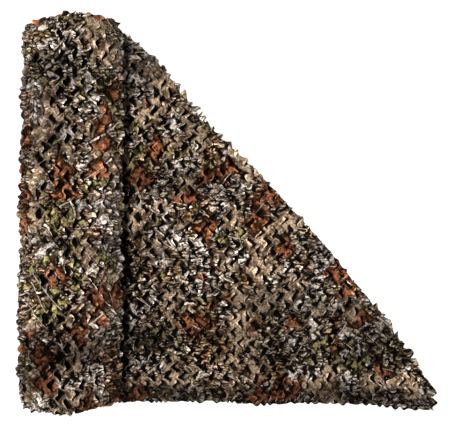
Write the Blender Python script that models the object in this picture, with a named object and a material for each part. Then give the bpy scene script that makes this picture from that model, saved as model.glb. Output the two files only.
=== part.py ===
"""A roll of leaf-cut camouflage netting that lies on its side with its loose end laid out flat.

Metres, +Z up. The roll lies along Y at the -X side. The loose end leaves it along the floor towards
+X, and its far corner is turned under along a slanting fold, so that a long triangle shows. The origin
is on the floor, under the middle of the whole thing's bounding box.
"""

import math
import random
from typing import NamedTuple

import bmesh
import bpy

SEED = 11

# The roll's wound form, without its leaves
ROLL_CENTRE_X = -0.630
ROLL_HALF_WIDTH = 0.200
ROLL_HALF_HEIGHT = 0.165
ROLL_HALF_LENGTH = 0.748
FLAT_SPOT_DROP = 0.012      # how far the round form would reach below the floor
ROLL_COLUMNS = 36           # faces round the roll, four to a leaf
ROLL_ROWS = 40              # faces along the roll, two to a leaf
LEAF_LIFT = 0.015           # how far the leaves stand off the wound form
LEAVES_FADE_FROM = 0.020    # heights between which the leaves grow from nothing to full,
LEAVES_FADE_TO = 0.080      # because those underneath are pressed flat

# The roll's ends
END_RISE = 0.020            # the uppermost cloth reaches further out than the lowest
SHOULDER = 0.024
END_RINGS = 10
END_TURNS = 2.5             # the main turns that stand out on an end
END_RIDGE = 0.009
END_CROWN = 0.012           # how far the middle of an end stands out

# The loose end, as it lies before its corner is turned under
ROOT_FROM_CENTRE = 0.100    # where the cloth parts from the roll's underside
END_X = 0.868
UPPER_EDGE_Y = 0.758
SHEET_THICKNESS = 0.003
BELLY_GAP = 0.0026          # between the roll's underside and the cloth that leaves it

# The leaf cuts, at twice the pitch of the real ones
CELL_COLUMNS = 12
CELL_ROWS = 20
GAP_HEIGHT = 0.72           # of a cell's height
GAP_LEFT = 0.17             # of a cell's length, from its middle to the gap's two sides
GAP_RIGHT = 0.03
LIP_LIFT = 0.0065           # how far a leaf's free edge curls off the sheet
CURL = 0.0015               # how uneven the rest of the sheet is
RIM_SCALLOP = 0.012

# The fold that turns the corner under
FOLD_START = (-0.436, 0.756)
FOLD_END = (0.866, -0.741)
FOLD_RADIUS = 0.008
FOLD_STEPS = 3
FOLD_MARGIN = 0.030         # a cell that reaches further than this over the bend stays whole
UNDER_LAYER_Z = 0.0082
CORNER_PLACE = (-0.480, -0.752)     # the corner is squared up under the triangle's own corner
PRESSED_TO = 0.148          # how far from the roll's middle its underside presses on the cloth
BOW_REACH = 0.350           # how far from the fold its uneven line still pulls the cloth


class RollStation(NamedTuple):
    """The roll's form at one place along its length."""

    y: float
    left: float      # how far the -X side is moved out, in metres
    right: float     # the same for the +X side
    height: float    # as a share of the full height


class EdgePoint(NamedTuple):
    """Where the loose end's lower edge lies, before its scallops."""

    x: float
    y: float


class FoldPoint(NamedTuple):
    """How far the fold's line is bowed out, at a share of its length."""

    along: float
    out: float


ROLL_STATIONS = (
    RollStation(y=-0.75, left=0.006, right=-0.004, height=0.975),
    RollStation(y=-0.60, left=0.010, right=0.000, height=1.000),
    RollStation(y=-0.25, left=0.006, right=0.002, height=0.990),
    RollStation(y=0.10, left=0.000, right=0.000, height=1.000),
    RollStation(y=0.45, left=-0.006, right=0.002, height=0.985),
    RollStation(y=0.75, left=-0.010, right=-0.006, height=0.970),
)

LOWER_EDGE = (
    EdgePoint(x=-0.53, y=-0.776),
    EdgePoint(x=-0.20, y=-0.772),
    EdgePoint(x=0.02, y=-0.778),
    EdgePoint(x=0.10, y=-0.790),
    EdgePoint(x=0.30, y=-0.778),
    EdgePoint(x=0.58, y=-0.784),
    EdgePoint(x=0.70, y=-0.806),
    EdgePoint(x=0.87, y=-0.816),
)

FOLD_LINE = (
    FoldPoint(along=0.00, out=0.000),
    FoldPoint(along=0.10, out=0.016),
    FoldPoint(along=0.20, out=0.002),
    FoldPoint(along=0.30, out=0.008),
    FoldPoint(along=0.40, out=0.034),
    FoldPoint(along=0.50, out=0.036),
    FoldPoint(along=0.62, out=0.052),
    FoldPoint(along=0.74, out=0.040),
    FoldPoint(along=0.81, out=0.048),
    FoldPoint(along=0.89, out=0.026),
    FoldPoint(along=0.95, out=0.012),
    FoldPoint(along=1.00, out=0.000),
)


def clear_scene() -> None:
    """Remove every object of the scene."""
    for obj in list(bpy.data.objects):
        bpy.data.objects.remove(obj, do_unlink=True)


def cloth_material(name: str, colour: tuple, roughness: float) -> bpy.types.Material:
    """Printed cloth in the net's average colour."""
    material = bpy.data.materials.new(name)
    material.use_nodes = True
    shader = material.node_tree.nodes["Principled BSDF"]
    shader.inputs["Base Color"].default_value = (*colour, 1.0)
    shader.inputs["Roughness"].default_value = roughness
    shader.inputs["Metallic"].default_value = 0.0
    return material


def add_object(name: str, bm: bmesh.types.BMesh, material: bpy.types.Material) -> bpy.types.Object:
    """Turn a bmesh into a named object of the scene."""
    mesh = bpy.data.meshes.new(name)
    bm.to_mesh(mesh)
    bm.free()
    mesh.materials.append(material)
    obj = bpy.data.objects.new(name, mesh)
    bpy.context.collection.objects.link(obj)
    return obj


def smoothstep(value: float, low: float, high: float) -> float:
    """Rise softly from 0 at low to 1 at high."""
    share = min(max((value - low) / (high - low), 0.0), 1.0)
    return share * share * (3.0 - 2.0 * share)


def read_table(rows: tuple, key: str, column: str, at: float) -> float:
    """A column of a table, read between its rows, which are in rising order of the key."""
    if at <= getattr(rows[0], key):
        return getattr(rows[0], column)
    for before, after in zip(rows, rows[1:]):
        start = getattr(before, key)
        end = getattr(after, key)
        if at <= end:
            share = (at - start) / (end - start)
            return getattr(before, column) * (1.0 - share) + getattr(after, column) * share
    return getattr(rows[-1], column)


def roll_size(side: float, y: float) -> tuple:
    """Half the roll's width on one side (the sign of side) and half its height, at y."""
    column = "left" if side < 0.0 else "right"
    half_width = ROLL_HALF_WIDTH + read_table(ROLL_STATIONS, "y", column, y)
    half_height = ROLL_HALF_HEIGHT * read_table(ROLL_STATIONS, "y", "height", y)
    return half_width, half_height


def roll_point(angle: float, y: float, share: float, lift: float) -> tuple:
    """A point of the roll's section: share is 1 on the outside and 0 in the middle."""
    half_width, half_height = roll_size(math.cos(angle), y)
    x = ROLL_CENTRE_X + (half_width * share + lift) * math.cos(angle)
    z = half_height - FLAT_SPOT_DROP + (half_height * share + lift) * math.sin(angle)
    return x, max(z, 0.0)


def roll_underside(x: float, y: float) -> float:
    """The height of the roll's lower surface above the floor."""
    half_width, half_height = roll_size(x - ROLL_CENTRE_X, y)
    across = min(abs(x - ROLL_CENTRE_X) / half_width, 1.0)
    return max(half_height * (1.0 - math.sqrt(1.0 - across * across)) - FLAT_SPOT_DROP, 0.0)


def leaf_lift(column: int, row: int, chance: random.Random) -> float:
    """How far a corner of the roll's surface stands off, as a share: leaves are staggered by rows."""
    if row % 2 == 0:
        return 0.15 * chance.random()
    from_leaf = (column + row - 1) % 4
    if from_leaf == 0:
        return 0.65 + 0.35 * chance.random()
    if from_leaf == 2:
        return 0.1 * chance.random()
    return 0.1 + 0.2 * chance.random()


def end_reach(angle: float, y_sign: float, share: float) -> float:
    """How far from the roll's middle its end lies: a low crown with the main turns as ridges."""
    edge = ROLL_HALF_LENGTH + END_RISE * math.sin(angle)
    turn = END_TURNS * share + y_sign * angle / (2.0 * math.pi)
    crown = END_CROWN * (1.0 - share * share)
    return edge * share + ROLL_HALF_LENGTH * (1.0 - share) + crown - END_RIDGE * (
        0.5 + 0.5 * math.cos(2.0 * math.pi * turn))


def build_roll(material: bpy.types.Material) -> bpy.types.Object:
    """The wound length: one lumpy, flattened solid with a small flat spot underneath."""
    chance = random.Random(SEED)
    angles = [2.0 * math.pi * column / ROLL_COLUMNS for column in range(ROLL_COLUMNS)]
    bm = bmesh.new()

    def side_ring(row: int) -> list:
        """One ring of corners round the roll's side."""
        along = 2.0 * row / ROLL_ROWS - 1.0
        ring = []
        for column, angle in enumerate(angles):
            edge = ROLL_HALF_LENGTH + END_RISE * math.sin(angle) - SHOULDER
            y = along * edge
            height = roll_point(angle, y, 1.0, 0.0)[1]
            lift = LEAF_LIFT * leaf_lift(column, row, chance)
            lift *= smoothstep(height, LEAVES_FADE_FROM, LEAVES_FADE_TO)
            x, z = roll_point(angle, y, 1.0, lift)
            ring.append(bm.verts.new((x, y, z)))
        return ring

    def end_ring(y_sign: float, share: float) -> list:
        """One ring of corners on an end of the roll."""
        ring = []
        for angle in angles:
            x, z = roll_point(angle, y_sign * ROLL_HALF_LENGTH, share, 0.0)
            ring.append(bm.verts.new((x, y_sign * end_reach(angle, y_sign, share), z)))
        return ring

    rings = [side_ring(row) for row in range(ROLL_ROWS + 1)]
    shares = [0.97 * (END_RINGS - step) / END_RINGS for step in range(END_RINGS)]
    near_end = [end_ring(-1.0, share) for share in shares]
    far_end = [end_ring(1.0, share) for share in shares]
    rings = near_end[::-1] + rings + far_end
    for lower, upper in zip(rings, rings[1:]):
        for column in range(ROLL_COLUMNS):
            following = (column + 1) % ROLL_COLUMNS
            bm.faces.new((lower[column], lower[following], upper[following], upper[column]))
    middle_z = ROLL_HALF_HEIGHT - FLAT_SPOT_DROP
    for ring, y_sign in ((rings[0], -1.0), (rings[-1], 1.0)):
        reach = ROLL_HALF_LENGTH + END_CROWN - END_RIDGE
        tip = bm.verts.new((ROLL_CENTRE_X, y_sign * reach, middle_z))
        for column in range(ROLL_COLUMNS):
            following = (column + 1) % ROLL_COLUMNS
            bm.faces.new((ring[column], ring[following], tip))
    bmesh.ops.recalc_face_normals(bm, faces=bm.faces[:])
    bmesh.ops.triangulate(bm, faces=bm.faces[:])
    roll = add_object("net_roll", bm, material)
    roll.data.shade_smooth()
    roll.data.set_sharp_from_angle(angle=math.radians(60.0))
    return roll


def fold_axes() -> tuple:
    """The fold's direction and length, and the direction that points out over it."""
    run = (FOLD_END[0] - FOLD_START[0], FOLD_END[1] - FOLD_START[1])
    length = math.hypot(*run)
    along = (run[0] / length, run[1] / length)
    outward = (-along[1], along[0])
    return along, outward, length


def past_fold(x: float, y: float) -> float:
    """How far a point of the unfolded cloth lies past the fold's straight line."""
    outward = fold_axes()[1]
    return (x - FOLD_START[0]) * outward[0] + (y - FOLD_START[1]) * outward[1]


def flat_place(column: float, row: float) -> tuple:
    """Where a point of the cell grid lies on the floor before the corner is turned under."""
    root = ROLL_CENTRE_X + ROOT_FROM_CENTRE
    x = root + (END_X - root) * column / CELL_COLUMNS
    lower = read_table(LOWER_EDGE, "x", "y", x)
    return x, lower + (UPPER_EDGE_Y - lower) * row / CELL_ROWS


def corner_pull() -> tuple:
    """Which way, and how far for each metre, the turned cloth runs on from the bend."""
    outward = fold_axes()[1]
    past = past_fold(END_X, UPPER_EDGE_Y)
    run = past - math.pi * FOLD_RADIUS
    pull_x = (CORNER_PLACE[0] - END_X + past * outward[0]) / run
    pull_y = (CORNER_PLACE[1] - UPPER_EDGE_Y + past * outward[1]) / run
    return pull_x, pull_y


def fold_bow(x: float, y: float, from_fold: float) -> float:
    """How far the fold's uneven line carries the cloth out at a point of that line's length."""
    along, _, length = fold_axes()
    run = (x - FOLD_START[0]) * along[0] + (y - FOLD_START[1]) * along[1]
    bow = read_table(FOLD_LINE, "along", "out", run / length)
    return (bow - FOLD_RADIUS) * (1.0 - smoothstep(from_fold, 0.0, BOW_REACH))


def folded_place(x: float, y: float, lift: float) -> tuple:
    """Turn the cloth's far corner under, and let it down to where it leaves the roll."""
    outward = fold_axes()[1]
    past = past_fold(x, y)
    foot = (x - past * outward[0], y - past * outward[1])
    upper_z = UNDER_LAYER_Z + 2.0 * FOLD_RADIUS
    beyond = past - math.pi * FOLD_RADIUS
    if beyond >= 0.0:
        pull = corner_pull()
        out = fold_bow(*foot, beyond)
        x = foot[0] + beyond * pull[0] + out * outward[0]
        y = foot[1] + beyond * pull[1] + out * outward[1]
        return x, y, UNDER_LAYER_Z - lift
    turn = max(past / FOLD_RADIUS, 0.0)
    out = min(past, 0.0) + FOLD_RADIUS * math.sin(turn) + fold_bow(*foot, max(-past, 0.0))
    x = foot[0] + (out + lift * math.sin(turn)) * outward[0]
    y = foot[1] + (out + lift * math.sin(turn)) * outward[1]
    level = upper_z - FOLD_RADIUS * (1.0 - math.cos(turn))
    ceiling = roll_underside(x, y) - BELLY_GAP - 0.5 * SHEET_THICKNESS
    if level > ceiling and x < ROLL_CENTRE_X + ROLL_HALF_WIDTH:
        free = smoothstep(x - ROLL_CENTRE_X, ROOT_FROM_CENTRE, PRESSED_TO)
        return x, y, ceiling + free * lift * math.cos(turn)
    return x, y, level + lift * math.cos(turn)


def cell_corners(bm: bmesh.types.BMesh, corners: dict, spots: list) -> list:
    """The corners at these places of the cell grid, each made once."""
    found = []
    for spot in spots:
        key = (round(spot[0], 3), round(spot[1], 3))
        if key not in corners:
            corners[key] = bm.verts.new((spot[0], spot[1], 0.0))
        found.append(corners[key])
    return found


def add_plain_cell(bm: bmesh.types.BMesh, corners: dict, column: float, row: int, length: float) -> None:
    """A stretch of one row with no gap in it."""
    middle = column + 0.5 * length
    lower = [(column, row), (middle, row), (column + length, row)]
    upper = [(column, row + 1), (middle, row + 1), (column + length, row + 1)]
    if length < 1.0:
        lower.pop(1)
        upper.pop(1)
    bm.faces.new(cell_corners(bm, corners, lower + upper[::-1]))


def add_cut_cell(bm: bmesh.types.BMesh, corners: dict, column: float, row: int) -> bmesh.types.BMVert:
    """A cell with one crescent gap, and the corner that its leaf's free edge curls up from."""
    middle = column + 0.5
    half = 0.5 * GAP_HEIGHT
    rim = [
        (column, row), (middle, row), (column + 1.0, row),
        (column + 1.0, row + 1), (middle, row + 1), (column, row + 1),
    ]
    gap = [
        (middle, row + 0.5 - half), (middle - GAP_RIGHT, row + 0.5),
        (middle, row + 0.5 + half), (middle - GAP_LEFT, row + 0.5),
    ]
    low_left, low, low_right, high_right, high, high_left = cell_corners(bm, corners, rim)
    tip_low, right, tip_high, left = cell_corners(bm, corners, gap)
    bm.faces.new((low_left, low, tip_low, left))
    bm.faces.new((low, low_right, right, tip_low))
    bm.faces.new((low_right, high_right, right))
    bm.faces.new((high_right, high, tip_high, right))
    bm.faces.new((high, high_left, left, tip_high))
    bm.faces.new((high_left, low_left, left))
    return right


def gap_fits(column: float, row: int) -> bool:
    """Whether a cell lies clear enough of the bend and of the roll's underside to be cut."""
    root_clear = flat_place(column, row)[0] > ROLL_CENTRE_X + PRESSED_TO
    spots = [(column + step, row + up) for step in (0.0, 0.5, 1.0) for up in (0.0, 1.0)]
    sides = [past_fold(*flat_place(*spot)) for spot in spots]
    before = max(sides) < FOLD_MARGIN
    after = min(sides) > math.pi * FOLD_RADIUS - FOLD_MARGIN
    return root_clear and (before or after)


def build_cell_grid(bm: bmesh.types.BMesh) -> set:
    """The cut pattern in rows, each row staggered by half a cell from the last, in cell units."""
    corners = {}
    lips = set()
    for row in range(CELL_ROWS):
        column = 0.0
        if row % 2 == 1:
            add_plain_cell(bm, corners, 0.0, row, 0.5)
            column = 0.5
        while column + 1.0 <= CELL_COLUMNS:
            if gap_fits(column, row):
                lips.add(add_cut_cell(bm, corners, column, row))
            else:
                add_plain_cell(bm, corners, column, row, 1.0)
            column += 1.0
        if column < CELL_COLUMNS:
            add_plain_cell(bm, corners, column, row, 0.5)
    return lips


def cut_bend_lines(bm: bmesh.types.BMesh) -> None:
    """Give the cloth edges along the fold, where it bends round."""
    outward = fold_axes()[1]
    for step in range(FOLD_STEPS + 1):
        out = math.pi * FOLD_RADIUS * step / FOLD_STEPS
        spot = (FOLD_START[0] + out * outward[0], FOLD_START[1] + out * outward[1], 0.0)
        everything = bm.verts[:] + bm.edges[:] + bm.faces[:]
        bmesh.ops.bisect_plane(bm, geom=everything, dist=0.001, plane_co=spot, plane_no=(*outward, 0.0))


def build_loose_end(material: bpy.types.Material) -> bpy.types.Object:
    """The cloth that shows beside the roll: one thin sheet with its corner turned under."""
    chance = random.Random(SEED + 1)
    bm = bmesh.new()
    lifts = bm.verts.layers.float.new("lift")
    lips = build_cell_grid(bm)
    for vert in bm.verts:
        column, row = vert.co.x, vert.co.y
        vert[lifts] = LIP_LIFT if vert in lips else CURL * (2.0 * chance.random() - 1.0)
        x, y = flat_place(column, row)
        scallop = RIM_SCALLOP * (chance.random() - 0.5)
        if row == 0.0:
            y -= scallop + RIM_SCALLOP * ((2.0 * column) % 2.0 - 0.5)
        elif row == CELL_ROWS:
            y += scallop + RIM_SCALLOP * ((2.0 * column) % 2.0 - 0.5)
        if column == CELL_COLUMNS:
            x += scallop
        vert.co = (x, y, 0.0)
    bmesh.ops.triangulate(bm, faces=bm.faces[:])
    cut_bend_lines(bm)
    for vert in bm.verts:
        vert.co = folded_place(vert.co.x, vert.co.y, vert[lifts])
    bmesh.ops.recalc_face_normals(bm, faces=bm.faces[:])
    bmesh.ops.triangulate(bm, faces=bm.faces[:])
    sheet = add_object("net_loose_end", bm, material)
    wall = sheet.modifiers.new("Thickness", 'SOLIDIFY')
    wall.thickness = SHEET_THICKNESS
    wall.offset = 0.0
    wall.use_rim = True
    return sheet


def centre_on_floor(objects: list) -> None:
    """Move everything so that the origin lies under the middle of the whole bounding box."""
    graph = bpy.context.evaluated_depsgraph_get()
    points = []
    for obj in objects:
        solid = obj.evaluated_get(graph)
        points.extend(vert.co.copy() for vert in solid.to_mesh().vertices)
        solid.to_mesh_clear()
    for axis in (0, 1):
        low = min(point[axis] for point in points)
        high = max(point[axis] for point in points)
        for obj in objects:
            obj.location[axis] = -0.5 * (low + high)


def main() -> None:
    """Build the roll and its loose end."""
    clear_scene()
    roll_cloth = cloth_material("roll_cloth", (0.144, 0.108, 0.084), 0.85)
    loose_cloth = cloth_material("loose_cloth", (0.150, 0.115, 0.088), 0.85)
    roll = build_roll(roll_cloth)
    loose_end = build_loose_end(loose_cloth)
    centre_on_floor([roll, loose_end])


main()
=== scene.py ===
"""The looks of a roll of leaf-cut camouflage netting that lies on its side, its loose end laid out.

One length of printed cloth, slit in staggered rows and pulled open, is made flat from a repeated cut tile.
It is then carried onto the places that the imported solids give: the roll's outer turn, the roll's inner
turns, and the loose end with its corner turned under. Everything is in metres, in the frame's own axes.
"""

import logging
import math
from dataclasses import dataclass
from enum import Enum
from typing import NamedTuple, Optional, Sequence, Union

import bpy
import numpy as np
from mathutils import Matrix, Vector

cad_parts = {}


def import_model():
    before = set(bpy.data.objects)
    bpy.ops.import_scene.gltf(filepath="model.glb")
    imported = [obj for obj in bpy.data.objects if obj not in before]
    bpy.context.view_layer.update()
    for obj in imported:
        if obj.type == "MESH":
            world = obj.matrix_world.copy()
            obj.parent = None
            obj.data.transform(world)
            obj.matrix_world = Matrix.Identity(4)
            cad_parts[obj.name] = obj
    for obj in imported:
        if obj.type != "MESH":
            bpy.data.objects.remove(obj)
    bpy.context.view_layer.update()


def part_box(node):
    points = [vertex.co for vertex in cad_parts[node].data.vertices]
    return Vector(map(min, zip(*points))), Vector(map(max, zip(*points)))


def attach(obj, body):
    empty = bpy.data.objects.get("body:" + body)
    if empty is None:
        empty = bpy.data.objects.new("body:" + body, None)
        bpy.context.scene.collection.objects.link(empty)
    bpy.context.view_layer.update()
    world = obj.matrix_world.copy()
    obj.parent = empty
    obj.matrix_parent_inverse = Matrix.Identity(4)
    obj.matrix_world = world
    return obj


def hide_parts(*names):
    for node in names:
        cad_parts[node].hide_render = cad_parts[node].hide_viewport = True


LOG = logging.getLogger("netting")
PRINT_MAP = "print"         # the UV map that holds the cloth's flat coordinates, in metres
PAINTED_LIGHT = "inside"           # the attribute that holds the cloth's painted shade and painted highlight: -1 lit, 1 deep in the folds
NET_WIDTH = 1.5
NET_LENGTH = 10.0
ROWS_ACROSS = 21            # how many cut tiles make the net's width
FLOOR_CLEARANCE = 0.0006    # no cloth lies nearer to the floor than this
ROLL_CENTRE_X = -0.630      # where the roll's middle lies before the shift to the frame's place
PRINT_START = 1.3           # the print's coordinate along the net where the loose end leaves the roll
CREASE_SHADE = 45.0         # how much shade each metre of a crease's depth gives

Array = np.ndarray
Pair = tuple[float, float]
Triple = tuple[float, float, float]
Socket = bpy.types.NodeSocket


def soft_step(value: Array, low: float, high: float) -> Array:
    """Rise softly from 0 at low to 1 at high, for each value."""
    share = np.clip((value - low) / (high - low), 0.0, 1.0)
    return share * share * (3.0 - 2.0 * share)


def placed(name: str, data: bpy.types.ID) -> bpy.types.Object:
    """Make an object and link it to the scene.

    Args:
        name: What it is called.
        data: Its mesh, lamp or camera.

    Returns:
        The object.
    """
    item = bpy.data.objects.new(name, data)
    bpy.context.collection.objects.link(item)
    return item


@dataclass(frozen=True)
class Wobble:
    """Soft unevenness over a surface, as a few waves in chance directions."""

    size: float
    height: float
    seed: int
    waves: int = 8

    def at(self, across: Array, along: Array) -> Array:
        """Read the unevenness.

        Args:
            across: Places on the surface's first axis, in metres.
            along: Places on its second axis.

        Returns:
            Heights, mostly between -height and height.
        """
        chance = np.random.default_rng(self.seed)
        total = np.zeros_like(across)
        for _ in range(self.waves):
            turn = chance.uniform(0.0, 2.0 * math.pi)
            pitch = self.size * chance.uniform(0.7, 1.6)
            start = chance.uniform(0.0, 2.0 * math.pi)
            run = across * math.cos(turn) + along * math.sin(turn)
            total += np.sin(2.0 * math.pi * run / pitch + start)
        return self.height * total / math.sqrt(self.waves)


class Trough(NamedTuple):
    """A soft crease that runs across the roll and the loose end."""

    y: float
    depth: float
    width: float
    slant: float

    def depth_at(self, x: Array, y: Array) -> Array:
        """How far it lets the cloth sink at these places of the frame."""
        away = (y - self.y - self.slant * x) / self.width
        return self.depth * np.exp(-away * away)


CREASES = (
    Trough(y=0.610, depth=0.008, width=0.030, slant=0.03),
    Trough(y=0.205, depth=0.003, width=0.022, slant=-0.02),
    Trough(y=-0.005, depth=0.009, width=0.030, slant=0.16),
    Trough(y=-0.505, depth=0.008, width=0.038, slant=0.05),
)


def crease_depth(x: Array, y: Array) -> Array:
    """How far the creases let the cloth sink at these places of the frame."""
    return sum(crease.depth_at(x, y) for crease in CREASES)


def crease_shade(x: Array, y: Array) -> Array:
    """How much the creases shade the cloth at these places of the frame, from 0 to 1."""
    return np.minimum(CREASE_SHADE * crease_depth(x, y), 1.0)


def deepened(shade: Array, dark: Array) -> Array:
    """Carry a shade on towards 1 by a share of what is left."""
    return shade + (1.0 - shade) * dark


class Value:
    """A number that varies over a surface: Python's operators on it add Math nodes."""

    def __init__(self, graph: "Graph", socket: Socket) -> None:
        """Wrap an output socket of a graph."""
        self.graph = graph
        self.socket = socket

    def _math(self, operation: str, first: "Number", second: "Number" = 0.0) -> "Value":
        """Add one Math node."""
        node = self.graph.add("ShaderNodeMath", {0: first, 1: second}, operation=operation)
        return Value(self.graph, node.outputs[0])

    def __add__(self, other: "Number") -> "Value":
        """Sum."""
        return self._math('ADD', self, other)

    def __sub__(self, other: "Number") -> "Value":
        """Difference."""
        return self._math('SUBTRACT', self, other)

    def __mul__(self, other: "Number") -> "Value":
        """Product."""
        return self._math('MULTIPLY', self, other)

    def __abs__(self) -> "Value":
        """Size without its sign."""
        return self._math('ABSOLUTE', self)

    def cosine(self) -> "Value":
        """The cosine of an angle in radians."""
        return self._math('COSINE', self)

    def between(self, low: float, high: float, start: float = 0.0, end: float = 1.0) -> "Value":
        """A soft step between two levels.

        Args:
            low: Where the step starts.
            high: Where it ends.
            start: The result at low and before it.
            end: The result at high and past it.

        Returns:
            The stepped value.
        """
        feeds = {"Value": self, "From Min": low, "From Max": high, "To Min": start, "To Max": end}
        node = self.graph.add("ShaderNodeMapRange", feeds, interpolation_type='SMOOTHSTEP')
        return Value(self.graph, node.outputs[0])


Number = Union[float, Value]
Colour = Triple
Stops = tuple[tuple[float, Colour], ...]
Feed = Union[float, int, str, tuple, Value, Socket, bpy.types.Material]


class Graph:
    """A node tree, with one method that makes any node."""

    def __init__(self, tree: bpy.types.NodeTree) -> None:
        """Wrap a node tree."""
        self.tree = tree

    def add(self, kind: str, feeds: Optional[dict] = None, **settings: object) -> bpy.types.Node:
        """Make a node.

        Args:
            kind: The node's type.
            feeds: What each input gets, by the socket's identifier, name or number.
            **settings: Its own settings, set first. "stops" holds a ramp's positions and colours.

        Returns:
            The new node.
        """
        node = self.tree.nodes.new(kind)
        for name, setting in settings.items():
            if name == "stops":
                self._set_stops(node.color_ramp, setting)
            else:
                setattr(node, name, setting)
        known = {socket.identifier: socket for socket in node.inputs}
        for key, feed in (feeds or {}).items():
            socket = known[key] if key in known else node.inputs[key]
            source = feed.socket if isinstance(feed, Value) else feed
            if isinstance(source, Socket):
                self.tree.links.new(source, socket)
            elif socket.type == 'RGBA':
                socket.default_value = (*source, 1.0)
            else:
                socket.default_value = source
        return node

    @staticmethod
    def _set_stops(ramp: bpy.types.ColorRamp, stops: Sequence) -> None:
        """Give a colour ramp its stops.

        Args:
            ramp: The ramp, changed in place.
            stops: Their positions and colours.
        """
        while len(ramp.elements) < len(stops):
            ramp.elements.new(0.5)
        for element, (position, colour) in zip(ramp.elements, stops):
            element.position = position
            element.color = (*colour, 1.0)

    def noise(self, place: Feed, size: float, detail: float = 2.0, roughness: float = 0.5) -> Value:
        """Cloudy noise whose features are about this size in metres."""
        feeds = {"Vector": place, "Scale": 1.0 / size, "Detail": detail, "Roughness": roughness}
        return Value(self, self.add("ShaderNodeTexNoise", feeds).outputs[0])

    def vector(self, operation: str, first: Feed, second: Feed) -> Socket:
        """Add one Vector Math node."""
        return self.add("ShaderNodeVectorMath", {0: first, 1: second}, operation=operation).outputs[0]

    def part(self, vector: Feed, axis: int) -> Value:
        """One of a vector's three numbers."""
        return Value(self, self.add("ShaderNodeSeparateXYZ", {0: vector}).outputs[axis])

    def bend(self, place: Feed, size: float, reach: float) -> Socket:
        """Shake a pattern's coordinates, so that its edges wander.

        Args:
            place: The coordinates.
            size: How far apart the wanderings are.
            reach: How far they go.

        Returns:
            The shaken coordinates.
        """
        cloud = self.add("ShaderNodeTexNoise", {"Vector": place, "Scale": 1.0 / size, "Detail": 2.0})
        centred = self.vector('SUBTRACT', cloud.outputs[1], (0.5, 0.5, 0.5))
        return self.vector('ADD', place, self.vector('MULTIPLY', centred, (reach, reach, reach)))

    def mix(self, factor: Number, first: Feed, second: Feed, blend: str = 'MIX') -> Socket:
        """Lay this much of the second colour over the first, by this way of blending."""
        feeds = {"Factor_Float": factor, "A_Color": first, "B_Color": second}
        return self.add("ShaderNodeMix", feeds, data_type='RGBA', blend_type=blend).outputs[2]

    def ramp(self, value: Value, stops: Sequence) -> Socket:
        """Colours for the levels of a value."""
        return self.add("ShaderNodeValToRGB", {"Fac": value}, stops=stops).outputs[0]


class Grain(Enum):
    """How many faces a cut tile has along and across."""

    FINE = (12, 16)
    COARSE = (4, 6)


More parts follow.
